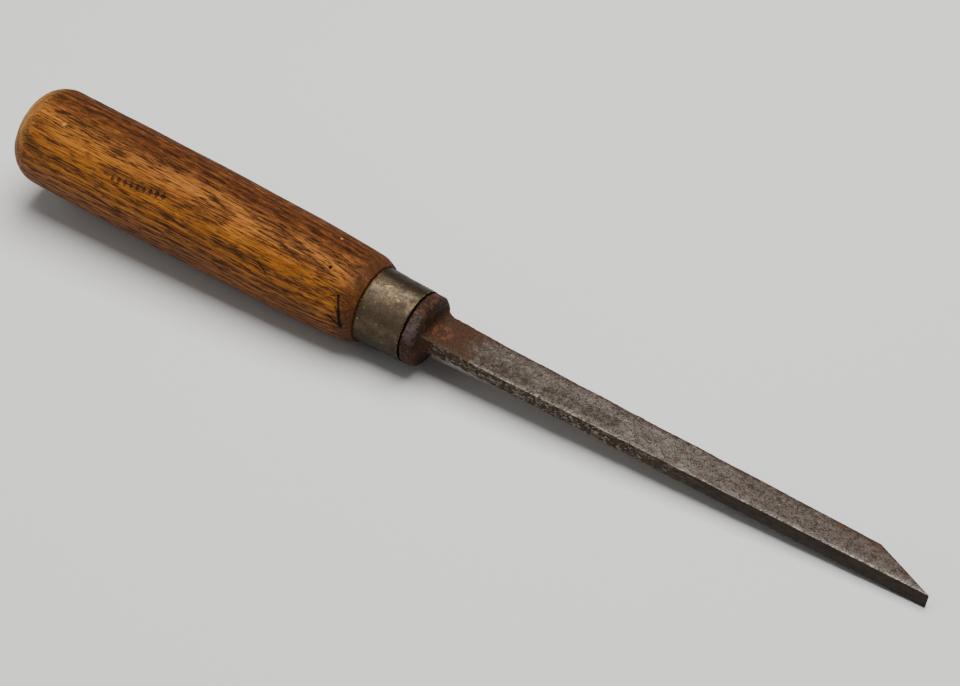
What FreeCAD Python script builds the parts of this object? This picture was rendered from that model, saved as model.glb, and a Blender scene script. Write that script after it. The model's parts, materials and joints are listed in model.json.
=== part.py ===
import FreeCAD, Part

import math
import os

import Sketcher
from FreeCAD import Placement, Rotation, Vector

# A narrow parting tool: a deep, slim steel bar ground to one bevel, forged in one piece with a
# round bolster and a tapered tang, driven into a turned ash handle with a brass ferrule.
#
# Every body is drawn in the tool's own frame: X runs along the axis from the butt to the cutting
# edge, -Y is the side of the flat back and +Y the side of the bevel. One shared placement then
# lays the whole tool down the way it comes to rest on a table, with the table top at Z = 0.

SHEET = "Sizes"

# alias, millimetres, what it measures
SIZES = [
    ("handle_length", 124.7, "butt to the ferrule"),
    ("butt_radius", 15.42, "handle radius at the butt, before its corner is rounded"),
    ("butt_crown", 0.8, "how far the middle of the butt stands out"),
    ("butt_round", 8.5, "radius of the butt's rounded corner"),
    ("barrel_bow", 3500.0, "radius of the long swell of the barrel"),
    ("neck_start", 100.7, "where the barrel begins to narrow faster"),
    ("neck_start_radius", 14.7, "handle radius there"),
    ("neck_bow", 350.0, "radius of the narrowing curve"),
    ("shoulder_start", 121.1, "where the short cone before the ferrule begins"),
    ("shoulder_radius", 13.7, "handle radius there"),
    ("shoulder_round", 8.0, "rounding of the ridge before the cone"),
    ("shoulder_foot", 12.2, "handle radius against the ferrule"),
    ("ferrule_length", 15.1, "length of the ferrule"),
    ("ferrule_back", 11.54, "outer radius at the wood"),
    ("ferrule_front", 11.05, "outer radius at the bolster"),
    ("ferrule_wall", 1.2, "thickness of the brass"),
    ("ferrule_rim", 0.35, "rounding of its outer edges"),
    ("tenon_play", 0.05, "gap between the tenon and the ferrule"),
    ("bolster_gap", 0.3, "how far the tenon holds the bolster off the ferrule"),
    ("bolster_thickness", 3.8, "along the axis"),
    ("bolster_radius", 10.97, "of the round bolster"),
    ("bolster_rim", 1.5, "rounding of its front edge"),
    ("tang_length", 78.0, "from the bolster into the handle"),
    ("tang_root", 7.6, "width of the square tang at the bolster"),
    ("tang_end", 3.2, "width of the square tang at its end"),
    ("socket_play", 0.05, "gap all round the tang"),
    ("blade_length", 157.3, "bolster to the cutting edge"),
    ("root_near", 5.58, "axis to the flat back, at the bolster"),
    ("root_far", 8.07, "axis to the far face, at the bolster"),
    ("root_thickness", 3.78, "of the blade at the bolster"),
    ("edge_near", 3.0, "axis to the flat back, at the cutting edge"),
    ("edge_far", 5.99, "axis to the far face, carried on to the cutting edge"),
    ("edge_thickness", 4.77, "of the blade at the cutting edge, a nominal 3/16 inch"),
    ("bevel_length", 18.2, "along the blade"),
    ("edge_land", 0.25, "worn, blunt width left at the cutting edge"),
    ("root_round", 1.0, "fillet where the blade leaves the bolster"),
    ("cut_clear", 5.0, "how far side cuts reach past the stock"),
]

# Places along the axis, as sheet formulas
FERRULE_END = "handle_length + ferrule_length"
BOLSTER_BACK = FERRULE_END + " + bolster_gap"
BOLSTER_FRONT = BOLSTER_BACK + " + bolster_thickness"
CUTTING_EDGE = BOLSTER_FRONT + " + blade_length"
BEVEL_HEEL = CUTTING_EDGE + " - bevel_length"
TANG_END = BOLSTER_BACK + " - tang_length"

# How far the bevel's heel stands from the axis, on the line of the tapering far face
HEEL_FAR = "edge_far + (root_far - edge_far) * bevel_length / blade_length"
# Half the blade's thickness at the bevel's heel
HEEL_HALF = "(edge_thickness + (root_thickness - edge_thickness) * bevel_length / blade_length) / 2"

# Passes that settle the lying tool onto its three feet, far more than it needs
LYING_PASSES = 20
# Two edges or points closer than this are the same one
SAME = 1e-3


def fill_sheet(doc):
    """Write the driving dimensions and give each its alias."""
    sheet = doc.addObject("Spreadsheet::Sheet", SHEET)
    for row, (alias, millimetres, meaning) in enumerate(SIZES, start=1):
        sheet.set(f"A{row}", alias)
        sheet.set(f"B{row}", str(millimetres))
        sheet.set(f"C{row}", meaning)
        sheet.setAlias(f"B{row}", alias)
    doc.recompute()
    return sheet


def value(sheet, formula):
    """A formula of aliases, worked out with the sheet's present values."""
    return float(sheet.evalExpression(formula))


def bound(sheet, formula):
    """The same formula as another object writes it, with the sheet's name before each alias."""
    words = formula.replace("(", "( ").replace(")", " )").split()
    aliases = [alias for alias, _, _ in SIZES]
    return " ".join(f"{sheet.Name}.{word}" if word in aliases else word for word in words)


def new_sketch(body, sheet, name, role, offset="0"):
    """A sketch on the body's origin plane of this role, shifted along the plane's normal."""
    sketch = body.newObject("Sketcher::SketchObject", name)
    plane = next(item for item in body.Origin.OriginFeatures if item.Role == role)
    sketch.AttachmentSupport = [(plane, "")]
    sketch.MapMode = "FlatFace"
    sketch.setExpression("AttachmentOffset.Base.z", bound(sheet, offset))
    return sketch


def bind(sketch, sheet, constraint, formula):
    """Add a constraint whose size follows a sheet formula."""
    index = sketch.addConstraint(constraint)
    sketch.setExpression(f"Constraints[{index}]", bound(sheet, formula))


def bulged(start, finish, radius):
    """Arc of this radius between two points, bulging to the left of the way from start to finish."""
    chord = finish - start
    half = chord.Length / 2
    rise = radius - math.sqrt(radius**2 - half**2)
    left = Vector(-chord.y, chord.x, 0).normalize()
    return Part.Arc(start, (start + finish) / 2 + left * rise, finish)


def end_at(sketch, edge, point):
    """Which end of a sketched edge, 1 or 2, lies at a point."""
    gaps = [sketch.getPoint(edge, end).distanceToPoint(point) for end in (1, 2)]
    return 1 + gaps.index(min(gaps))


def hold(sketch, sheet, edge, end, kind, formula):
    """Hold one end of an edge at a sheet formula's distance from the origin, along X or Y."""
    distance = value(sheet, formula)
    if abs(distance) < SAME:
        axis = -2 if kind == "DistanceX" else -1
        sketch.addConstraint(Sketcher.Constraint("PointOnObject", edge, end, axis))
    elif distance < 0:
        bind(sketch, sheet, Sketcher.Constraint(kind, edge, end, -1, 1, -distance), f"0 - ( {formula} )")
    else:
        bind(sketch, sheet, Sketcher.Constraint(kind, -1, 1, edge, end, distance), formula)


def outline(sketch, sheet, corners):
    """Closed outline through corners, each given by its sheet formulas across and up.

    A third formula makes the side that leaves a corner an arc of that radius, bulging to the left.
    """
    points = [Vector(value(sheet, corner[0]), value(sheet, corner[1]), 0) for corner in corners]
    following = points[1:] + points[:1]
    for edge, (corner, start, finish) in enumerate(zip(corners, points, following)):
        if len(corner) > 2:
            sketch.addGeometry(bulged(start, finish, value(sheet, corner[2])), False)
            radius = Sketcher.Constraint("Radius", edge, value(sheet, corner[2]))
            bind(sketch, sheet, radius, corner[2])
        else:
            sketch.addGeometry(Part.LineSegment(start, finish), False)
    for edge, (corner, start) in enumerate(zip(corners, points)):
        before = (edge - 1) % len(corners)
        end = end_at(sketch, edge, start)
        joint = Sketcher.Constraint("Coincident", before, end_at(sketch, before, start), edge, end)
        sketch.addConstraint(joint)
        hold(sketch, sheet, edge, end, "DistanceX", corner[0])
        hold(sketch, sheet, edge, end, "DistanceY", corner[1])


def square(sketch, sheet, width):
    """Square outline centred on the axis."""
    half = f"( {width} ) / 2"
    less = f"0 - ( {width} ) / 2"
    outline(sketch, sheet, [(less, less), (half, less), (half, half), (less, half)])


def revolved(body, sketch, name):
    """Turn an outline about the tool's axis."""
    feature = body.newObject("PartDesign::Revolution", name)
    feature.Profile = sketch
    feature.ReferenceAxis = (sketch, ["H_Axis"])
    feature.Angle = 360
    body.Document.recompute()
    return feature


def lofted(body, kind, name, sections):
    """Loft straight from the first sketch to the last."""
    feature = body.newObject(kind, name)
    feature.Profile = sections[0]
    feature.Sections = sections[1:]
    feature.Ruled = True
    body.Document.recompute()
    return feature


def ring_edges(shape, place, radius=None):
    """Names of the circular edges round the axis at a place along it, of one radius if given."""
    names = []
    for index, edge in enumerate(shape.Edges, start=1):
        if edge.Degenerated or not isinstance(edge.Curve, Part.Circle):
            continue
        if abs(edge.Curve.Center.x - place) > SAME:
            continue
        if radius is None or abs(edge.Curve.Radius - radius) < SAME:
            names.append(f"Edge{index}")
    return names


def rounded(body, sheet, name, base, edges, radius):
    """Fillet some edges of a feature with a radius from the sheet."""
    if not edges:
        raise RuntimeError(f"{name} finds no edges")
    feature = body.newObject("PartDesign::Fillet", name)
    feature.Base = (base, edges)
    feature.setExpression("Radius", bound(sheet, radius))
    body.Document.recompute()
    return feature


def must_shrink(before, after):
    """Stop if a cut took nothing away."""
    if after.Shape.Volume > before.Shape.Volume - SAME:
        raise RuntimeError(f"{after.Name} cuts nothing")


def make_handle(doc, sheet):
    """Turned ash handle: crowned butt, swelling barrel, cone, tenon, and a socket for the tang."""
    body = doc.addObject("PartDesign::Body", "handle")
    profile = new_sketch(body, sheet, "handle_profile", "XZ_Plane")
    tenon_back = "ferrule_back - ferrule_wall - tenon_play"
    tenon_front = "ferrule_front - ferrule_wall - tenon_play"
    outline(profile, sheet, [
        ("0", "0", "( butt_radius ^ 2 + butt_crown ^ 2 ) / ( 2 * butt_crown )"),
        ("butt_crown", "butt_radius", "barrel_bow"),
        ("neck_start", "neck_start_radius", "neck_bow"),
        ("shoulder_start", "shoulder_radius"),
        ("handle_length", "shoulder_foot"),
        ("handle_length", tenon_back),
        (BOLSTER_BACK, tenon_front),
        (BOLSTER_BACK, "0"),
    ])
    blank = revolved(body, profile, "handle_blank")

    butt = ring_edges(blank.Shape, value(sheet, "butt_crown"))
    butt_rounding = rounded(body, sheet, "butt_rounding", blank, butt, "butt_round")
    ridge = ring_edges(butt_rounding.Shape, value(sheet, "shoulder_start"))
    shoulder = rounded(body, sheet, "shoulder_rounding", butt_rounding, ridge, "shoulder_round")

    mouth = new_sketch(body, sheet, "socket_mouth", "YZ_Plane", BOLSTER_BACK)
    square(mouth, sheet, "tang_root + 2 * socket_play")
    floor = new_sketch(body, sheet, "socket_floor", "YZ_Plane", TANG_END + " - socket_play")
    square(floor, sheet, "tang_end + 2 * socket_play")
    socket = lofted(body, "PartDesign::SubtractiveLoft", "tang_socket", [mouth, floor])
    must_shrink(shoulder, socket)
    return body


def make_ferrule(doc, sheet):
    """Brass ferrule: a short tapered tube with softened edges."""
    body = doc.addObject("PartDesign::Body", "ferrule")
    profile = new_sketch(body, sheet, "ferrule_profile", "XZ_Plane")
    outline(profile, sheet, [
        ("handle_length", "ferrule_back"),
        (FERRULE_END, "ferrule_front"),
        (FERRULE_END, "ferrule_front - ferrule_wall"),
        ("handle_length", "ferrule_back - ferrule_wall"),
    ])
    tube = revolved(body, profile, "ferrule_tube")
    back = ring_edges(tube.Shape, value(sheet, "handle_length"), value(sheet, "ferrule_back"))
    front = ring_edges(tube.Shape, value(sheet, FERRULE_END), value(sheet, "ferrule_front"))
    rounded(body, sheet, "ferrule_edges", tube, back + front, "ferrule_rim")
    return body


def make_blade(doc, sheet):
    """One forging: tapering bar with its bevel, round bolster, and tapered square tang."""
    body = doc.addObject("PartDesign::Body", "blade")
    plan = new_sketch(body, sheet, "blade_plan", "XY_Plane")
    outline(plan, sheet, [
        (BOLSTER_FRONT, "0 - root_near"),
        (CUTTING_EDGE, "0 - edge_near"),
        (CUTTING_EDGE, "edge_land - edge_near"),
        (BEVEL_HEEL, HEEL_FAR),
        (BOLSTER_FRONT, "root_far"),
    ])
    bar = body.newObject("PartDesign::Pad", "blade_bar")
    bar.Profile = plan
    bar.SideType = "Symmetric"
    bar.setExpression("Length", bound(sheet, "edge_thickness + cut_clear"))
    doc.recompute()

    stock = bar
    for name, sign in (("upper", ""), ("lower", "0 - ")):
        waste = new_sketch(body, sheet, f"{name}_waste", "XZ_Plane")
        outline(waste, sheet, [
            (BOLSTER_FRONT, f"{sign}root_thickness / 2"),
            (CUTTING_EDGE, f"{sign}edge_thickness / 2"),
            (CUTTING_EDGE, f"{sign}( edge_thickness + cut_clear )"),
            (BOLSTER_FRONT, f"{sign}( edge_thickness + cut_clear )"),
        ])
        taper = body.newObject("PartDesign::Pocket", f"{name}_taper")
        taper.Profile = waste
        taper.SideType = "Symmetric"
        taper.Type = "ThroughAll"
        doc.recompute()
        must_shrink(stock, taper)
        stock = taper

    disc = new_sketch(body, sheet, "bolster_outline", "YZ_Plane", BOLSTER_BACK)
    disc.addGeometry(Part.Circle(Vector(), Vector(0, 0, 1), value(sheet, "bolster_radius")), False)
    disc.addConstraint(Sketcher.Constraint("Coincident", 0, 3, -1, 1))
    radius = Sketcher.Constraint("Radius", 0, value(sheet, "bolster_radius"))
    bind(disc, sheet, radius, "bolster_radius")
    bolster = body.newObject("PartDesign::Pad", "bolster")
    bolster.Profile = disc
    bolster.setExpression("Length", bound(sheet, "bolster_thickness"))
    doc.recompute()
    front = value(sheet, BOLSTER_FRONT)
    rim = rounded(body, sheet, "bolster_rounding", bolster, ring_edges(bolster.Shape, front), "bolster_rim")

    root = [
        f"Edge{index}"
        for index, edge in enumerate(rim.Shape.Edges, start=1)
        if not edge.Degenerated
        and isinstance(edge.Curve, Part.Line)
        and all(abs(vertex.X - front) < SAME for vertex in edge.Vertexes)
    ]
    rounded(body, sheet, "root_rounding", rim, root, "root_round")

    shoulder = new_sketch(body, sheet, "tang_shoulder", "YZ_Plane", BOLSTER_BACK)
    square(shoulder, sheet, "tang_root")
    tip = new_sketch(body, sheet, "tang_tip", "YZ_Plane", TANG_END)
    square(tip, sheet, "tang_end")
    lofted(body, "PartDesign::AdditiveLoft", "tang", [shoulder, tip])
    return body


def lying_turn(sheet):
    """Rotation from the tool's own frame to the way it lies on a table.

    It stands on three feet: the lower corner of the cutting edge, the lower corner of the bevel's
    heel, and the narrowing part of the handle. The table's normal starts upright, square to the
    line through the two corners, and each pass rolls it about that line until the handle touches.
    """
    edge_foot = Vector(
        value(sheet, CUTTING_EDGE), -value(sheet, "edge_near"), -value(sheet, "edge_thickness") / 2
    )
    heel_foot = Vector(value(sheet, BEVEL_HEEL), value(sheet, HEEL_FAR), -value(sheet, HEEL_HALF))
    along = (edge_foot - heel_foot).normalize()
    neck_start = Vector(value(sheet, "neck_start"), value(sheet, "neck_start_radius"), 0)
    shoulder = Vector(value(sheet, "shoulder_start"), value(sheet, "shoulder_radius"), 0)
    neck = bulged(neck_start, shoulder, value(sheet, "neck_bow")).toShape().Curve
    reach = Vector(shoulder.x, 0, 0) - edge_foot
    lever = (reach - along * reach.dot(along)).Length

    normal = Vector(0, 0, 1)
    normal = (normal - along * normal.dot(along)).normalize()
    for _ in range(LYING_PASSES):
        slant = math.sqrt(1 - normal.x**2)
        neck_height = normal.x * neck.Center.x - slant * neck.Center.y - neck.Radius
        below = normal.dot(edge_foot) - neck_height
        normal = Rotation(along, math.degrees(below / lever)).multVec(normal)

    forward = (Vector(1, 0, 0) - normal * normal.x).normalize()
    return Rotation(forward, normal.cross(forward), normal, "ZXY").inverted()


def lay_down(doc, sheet, bodies):
    """Place every body lying on the table, with the tool's box centred over the origin."""
    turn = lying_turn(sheet)
    for body in bodies:
        body.Placement = Placement(Vector(), turn)
    doc.recompute()
    box = Part.makeCompound([body.Shape for body in bodies]).optimalBoundingBox(False, False)
    shift = Vector(-box.Center.x, -box.Center.y, -box.ZMin)
    for body in bodies:
        body.Placement = Placement(shift, turn)
    doc.recompute()


def check(doc, bodies):
    """Stop if any object failed or any body is not one sound solid."""
    for item in doc.Objects:
        if "Invalid" in item.State or "Error" in item.State:
            raise RuntimeError(f"{item.Name} failed: {item.State}")
    for body in bodies:
        shape = body.Shape
        if shape.isNull() or not shape.isValid() or len(shape.Solids) != 1:
            raise RuntimeError(f"{body.Label} is not one valid solid")


def export(bodies):
    """Write one STEP file for each body, named by its label."""
    os.makedirs("parts", exist_ok=True)
    for body in bodies:
        body.Shape.exportStep(f"parts/{body.Label}.step")
        box = body.Shape.optimalBoundingBox(False, False)
        print(f"{body.Label}: {body.Shape.Volume / 1000:.2f} cm3, x {box.XMin:.2f} to {box.XMax:.2f},"
              f" y {box.YMin:.2f} to {box.YMax:.2f}, z {box.ZMin:.2f} to {box.ZMax:.2f}")


def main():
    doc = FreeCAD.newDocument("parting_tool")
    sheet = fill_sheet(doc)
    bodies = [make_handle(doc, sheet), make_ferrule(doc, sheet), make_blade(doc, sheet)]
    lay_down(doc, sheet, bodies)
    check(doc, bodies)
    export(bodies)


main()
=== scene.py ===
# %% [markdown]
# # A worn parting tool, dressed over its engineering model
#
# The tool is three things: a turned ash handle, a brass ferrule, and one forging that is blade,
# bolster and tang together. The engineering model already fixes every size. This lesson makes
# each piece again with real surface: open grain, dents, patina, pits and rust. It gives the
# design a skin and leaves its sizes alone, with one exception: the forged swelling at the
# blade's root, which the design doesn't have, is added here, inside the design's box.

# %% Load the frame
import json
import math

import bpy
from mathutils import Matrix, Vector


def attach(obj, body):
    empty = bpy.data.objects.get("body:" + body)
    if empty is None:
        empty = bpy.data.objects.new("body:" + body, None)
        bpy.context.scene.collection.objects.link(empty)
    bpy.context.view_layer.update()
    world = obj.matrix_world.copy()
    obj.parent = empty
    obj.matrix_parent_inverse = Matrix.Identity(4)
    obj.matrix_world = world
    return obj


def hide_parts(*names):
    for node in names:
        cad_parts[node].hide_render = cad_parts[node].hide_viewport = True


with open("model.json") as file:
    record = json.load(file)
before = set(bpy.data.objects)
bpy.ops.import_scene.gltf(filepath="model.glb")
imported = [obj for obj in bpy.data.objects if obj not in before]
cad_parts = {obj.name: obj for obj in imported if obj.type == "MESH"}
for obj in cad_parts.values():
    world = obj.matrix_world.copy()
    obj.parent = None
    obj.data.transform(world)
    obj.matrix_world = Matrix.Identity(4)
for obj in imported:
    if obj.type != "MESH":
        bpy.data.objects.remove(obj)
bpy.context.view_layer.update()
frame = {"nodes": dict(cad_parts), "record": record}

MM = 0.001

# %% [markdown]
# ## The tool's own straight frame
#
# The tool lies tipped and slightly rolled on the table, which is awkward to model in. So every
# piece is made straight, with X running up the axis from the butt, -Y on the side of the flat
# back and Z across the blade's thickness, and is laid down only when it is finished. The design
# carries what this needs: the grip's direction is the axis, and the two broad sides of the blade
# face equally far up and down, so the difference of their normals is square to both.

# %% Find the straight frame in the design
mounts = {mount["name"]: mount for mount in frame["record"]["mounts"]}
axis = Vector(mounts["grip"]["axis"]).normalized()
across = Vector(mounts["upper_side"]["axis"]) - Vector(mounts["lower_side"]["axis"])
thick = (across - axis * across.dot(axis)).normalized()
deep = thick.cross(axis)
grip_point = Vector(mounts["grip"]["pos_m"])
butt_reach = min((v.co - grip_point).dot(axis) for v in frame["nodes"]["handle"].data.vertices)
butt_point = grip_point + axis * butt_reach
LYING = Matrix((axis, deep, thick)).transposed().to_4x4()
LYING.translation = butt_point


def measured(node):
    """Corner points of a part of the design, in the straight frame, in millimetres."""
    upright = LYING.inverted()
    return [(upright @ v.co) / MM for v in frame["nodes"][node].data.vertices]


def radius_at(points, low, high):
    """Greatest distance from the axis among points between two places along it."""
    return max(math.hypot(p.y, p.z) for p in points if low <= p.x <= high)


handle_points = measured("handle")
ferrule_points = measured("ferrule")
blade_points = measured("blade")
ferrule_start = min(p.x for p in ferrule_points)
ferrule_end = max(p.x for p in ferrule_points)
edge_x = max(p.x for p in blade_points)
handle_end = max(p.x for p in handle_points)
handle_radius = max(math.hypot(p.y, p.z) for p in handle_points)
print(f"handle {ferrule_start:.1f} long and {2 * handle_radius:.1f} thick, edge at {edge_x:.1f} mm")

# %% [markdown]
# ## Helpers for modelling
#
# Operators work on whatever is selected, so each piece starts from an empty selection. Turned
# pieces are grown the way a turner thinks of them: a disc at one end, extruded ring by ring along
# the axis and resized at each ring. A Subdivision Surface then rounds what lies between rings.

# %% Modelling helpers


def start_fresh():
    """Leave edit mode and select nothing."""
    if bpy.context.object and bpy.context.object.mode != "OBJECT":
        bpy.ops.object.mode_set(mode="OBJECT")
    bpy.ops.object.select_all(action="DESELECT")


def made(name):
    """Name the active object and return it."""
    piece = bpy.context.object
    piece.name = name
    piece.data.name = name
    return piece


def turned(name, rings, sides, filled=True):
    """A piece turned about the X axis through rings of (place, radius) in millimetres."""
    start_fresh()
    place, radius = rings[0]
    fill = "NGON" if filled else "NOTHING"
    bpy.ops.mesh.primitive_circle_add(
        vertices=sides, radius=radius * MM, fill_type=fill,
        location=(place * MM, 0, 0), rotation=(0, math.pi / 2, 0),
    )
    piece = made(name)
    bpy.ops.object.transform_apply(location=True, rotation=True, scale=True)
    bpy.ops.object.mode_set(mode="EDIT")
    bpy.ops.mesh.select_all(action="SELECT")
    for next_place, next_radius in rings[1:]:
        step = {"value": ((next_place - place) * MM, 0, 0)}
        bpy.ops.mesh.extrude_region_move(TRANSFORM_OT_translate=step)
        change = next_radius / radius
        bpy.ops.transform.resize(value=(1, change, change), center_override=(next_place * MM, 0, 0))
        place, radius = next_place, next_radius
    bpy.ops.mesh.select_all(action="SELECT")
    bpy.ops.mesh.normals_make_consistent(inside=False)
    bpy.ops.object.mode_set(mode="OBJECT")
    return piece


def apply_all(piece):
    """Apply every modifier of a piece, first to last."""
    start_fresh()
    bpy.context.view_layer.objects.active = piece
    piece.select_set(True)
    for modifier in list(piece.modifiers):
        bpy.ops.object.modifier_apply(modifier=modifier.name)


def rounded_surface(piece, levels):
    """Subdivide a piece into a smooth, finer surface."""
    modifier = piece.modifiers.new("rounding", "SUBSURF")
    modifier.levels = levels
    modifier.render_levels = levels
    apply_all(piece)


HIGH_GROUND = 0.72


def worn(piece, size, depth, where=None):
    """Press soft procedural lumps into a piece: size and depth in millimetres.

    The middle level is high, so nearly all of the surface goes in and very little stands out.
    """
    pattern = bpy.data.textures.new(f"{piece.name}_clouds_{size}", "CLOUDS")
    pattern.noise_scale = size * MM
    modifier = piece.modifiers.new("wear", "DISPLACE")
    modifier.texture = pattern
    modifier.texture_coords = "LOCAL"
    modifier.strength = depth * MM
    modifier.mid_level = HIGH_GROUND
    if where:
        modifier.vertex_group = where
    apply_all(piece)


def pressed(piece, where, depth):
    """Press a piece in evenly, by a depth in millimetres, where a vertex group says."""
    modifier = piece.modifiers.new("press", "DISPLACE")
    modifier.strength = -depth * MM
    modifier.mid_level = 0.0
    modifier.vertex_group = where
    apply_all(piece)


def weighted(piece, name, weight):
    """A vertex group whose weight at each point is a function of its place in millimetres."""
    group = piece.vertex_groups.new(name=name)
    for vertex in piece.data.vertices:
        amount = min(1.0, max(0.0, weight(vertex.co / MM)))
        if amount > 0:
            group.add([vertex.index], amount, "REPLACE")
    return name


def from_line(p, start, end):
    """Distance from a point to the line between two others, all in millimetres."""
    start = Vector(start)
    run = Vector(end) - start
    share = min(1.0, max(0.0, (p - start).dot(run) / run.length_squared))
    return (p - start - run * share).length


def ramp_between(value, low, high):
    """Rise from 0 at low to 1 at high, and stay there. With low above high it falls."""
    return min(1.0, max(0.0, (value - low) / (high - low)))


def laid_down(piece, material, node):
    """Finish a piece: smooth it, lay it in its place, give it its material and its body."""
    start_fresh()
    bpy.context.view_layer.objects.active = piece
    piece.select_set(True)
    piece.matrix_world = LYING
    bpy.ops.object.transform_apply(location=True, rotation=True, scale=True)
    bpy.ops.object.shade_smooth()
    piece.data.materials.clear()
    piece.data.materials.append(material)
    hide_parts(node)
    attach(piece, "root")
    print(f"{piece.name}: {len(piece.data.polygons)} faces")


# %% [markdown]
# ## Helpers for materials
#
# Every pattern is worked out in the tool's own straight frame in millimetres, so that grain runs
# up the handle and rust starts at the bolster however the tool lies. One Mapping node turns the
# lying object's coordinates back into that frame.

# %% Material helpers


def new_material(name):
    """An empty procedural material: (material, node tree, main shader)."""
    material = bpy.data.materials.new(name)
    material.use_nodes = True
    tree = material.node_tree
    return material, tree, tree.nodes["Principled BSDF"]


def put(tree, socket, what):
    """Feed a socket from another socket, or set it to a value."""
    if isinstance(what, bpy.types.NodeSocket):
        tree.links.new(what, socket)
    else:
        socket.default_value = what


def node(tree, kind, inputs=None, **settings):
    """Add a node with its settings and its inputs."""
    new = tree.nodes.new(kind)
    for setting, what in settings.items():
        setattr(new, setting, what)
    for name, what in (inputs or {}).items():
        put(tree, new.inputs[name], what)
    return new


def tool_place(tree):
    """The point being shaded, in the straight frame, in millimetres."""
    upright = LYING.inverted()
    source = node(tree, "ShaderNodeTexCoord").outputs["Object"]
    return node(tree, "ShaderNodeMapping", {
        "Vector": source,
        "Location": upright.translation / MM,
        "Rotation": upright.to_euler(),
        "Scale": (1 / MM, 1 / MM, 1 / MM),
    }).outputs["Vector"]


def calc(tree, operation, first, second=0.0, third=0.0, clamp=False):
    """One step of arithmetic."""
    step = node(tree, "ShaderNodeMath", {0: first, 1: second, 2: third}, operation=operation)
    step.use_clamp = clamp
    return step.outputs[0]


def fade(tree, value, low, high, bottom=0.0, top=1.0):
    """Smooth change from bottom to top while value goes from low to high."""
    return node(tree, "ShaderNodeMapRange", {
        "Value": value, "From Min": low, "From Max": high, "To Min": bottom, "To Max": top,
    }, interpolation_type="SMOOTHSTEP").outputs["Result"]


def stretched(tree, place, lengthwise, crosswise):
    """The place squeezed or stretched along the axis and across it."""
    return node(tree, "ShaderNodeVectorMath", {
        0: place, 1: (lengthwise, crosswise, crosswise),
    }, operation="MULTIPLY").outputs[0]


def clouds(tree, place, scale, detail=3.0, rough=0.5):
    """Soft noise between about 0.25 and 0.75. Scale is in lumps per millimetre."""
    return node(tree, "ShaderNodeTexNoise", {
        "Vector": place, "Scale": scale, "Detail": detail, "Roughness": rough,
    }).outputs["Fac"]


def blend(tree, amount, first, second):
    """Mix two colours."""
    mixer = node(tree, "ShaderNodeMix", data_type="RGBA")
    put(tree, mixer.inputs["Factor"], amount)
    put(tree, mixer.inputs["A"], first if not isinstance(first, tuple) else (*first, 1))
    put(tree, mixer.inputs["B"], second if not isinstance(second, tuple) else (*second, 1))
    return mixer.outputs["Result"]


def nearness(tree, place, spot, inner, outer):
    """1 within the inner distance of a spot, falling to 0 at the outer one, in millimetres."""
    distance = node(tree, "ShaderNodeVectorMath", {0: place, 1: spot}, operation="DISTANCE")
    return fade(tree, distance.outputs["Value"], inner, outer, 1.0, 0.0)


def relief(tree, height, depth):
    """Bump from a height between 0 and 1, for a relief of this depth in millimetres."""
    return node(tree, "ShaderNodeBump", {
        "Height": height, "Distance": depth * MM, "Strength": 1.0,
    }).outputs["Normal"]


# %% Helpers for marks and faces


def facing(tree, direction, low=0.5, high=0.85):
    """1 where the surface faces a direction, falling to 0 as it turns away."""
    normal = node(tree, "ShaderNodeTexCoord").outputs["Normal"]
    toward = node(tree, "ShaderNodeVectorMath", {0: normal, 1: direction}, operation="DOT_PRODUCT")
    return fade(tree, toward.outputs["Value"], low, high)


def along(tree, place, start, direction):
    """How far a place lies from a start, measured along a direction."""
    away = node(tree, "ShaderNodeVectorMath", {0: place, 1: start}, operation="SUBTRACT")
    reach = node(tree, "ShaderNodeVectorMath", {
        0: away.outputs[0], 1: direction,
    }, operation="DOT_PRODUCT")
    return reach.outputs["Value"]


def score(tree, place, start, end, width):
    """1 on the line between two points, falling to 0 at a width either side of it."""
    run = Vector(end) - Vector(start)
    share = calc(tree, "DIVIDE", along(tree, place, start, run), run.length_squared, clamp=True)
    reach = node(tree, "ShaderNodeVectorMath", {0: run, "Scale": share}, operation="SCALE")
    nearest = node(tree, "ShaderNodeVectorMath", {0: reach.outputs[0], 1: start}, operation="ADD")
    gap = node(tree, "ShaderNodeVectorMath", {
        0: place, 1: nearest.outputs[0],
    }, operation="DISTANCE")
    return fade(tree, gap.outputs["Value"], width * 0.4, width, 1.0, 0.0)


def most(tree, *amounts):
    """The greatest of several amounts."""
    result = amounts[0]
    for amount in amounts[1:]:
        result = calc(tree, "MAXIMUM", result, amount)
    return result


def product(tree, *amounts):
    """All the amounts multiplied together."""
    result = amounts[0]
    for amount in amounts[1:]:
        result = calc(tree, "MULTIPLY", result, amount)
    return result


# %% [markdown]
# ## Marks on the handle
#
# Long use leaves marks. Each is a place on the turned surface, given by its distance from the butt
# and its angle round the axis, where 90 degrees is the top and 180 the side of the flat back. The
# surface narrows and is worn, so marks are measured on a drum of one radius that the surface is
# projected onto. The same numbers press the dent into the mesh and darken it in the material. A
# row of little stamped diamonds stands where a maker would put a mark.

# %% Places of the marks
DRUM = 14.5


def on_drum(place, angle):
    """A point on the drum, in the straight frame, in millimetres."""
    turn = math.radians(angle)
    return Vector((place, DRUM * math.cos(turn), DRUM * math.sin(turn)))


def onto_drum(p):
    """A point of the handle moved straight out or in to the drum."""
    grown = DRUM / max(math.hypot(p.y, p.z), 0.001)
    return Vector((p.x, p.y * grown, p.z * grown))


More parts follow.
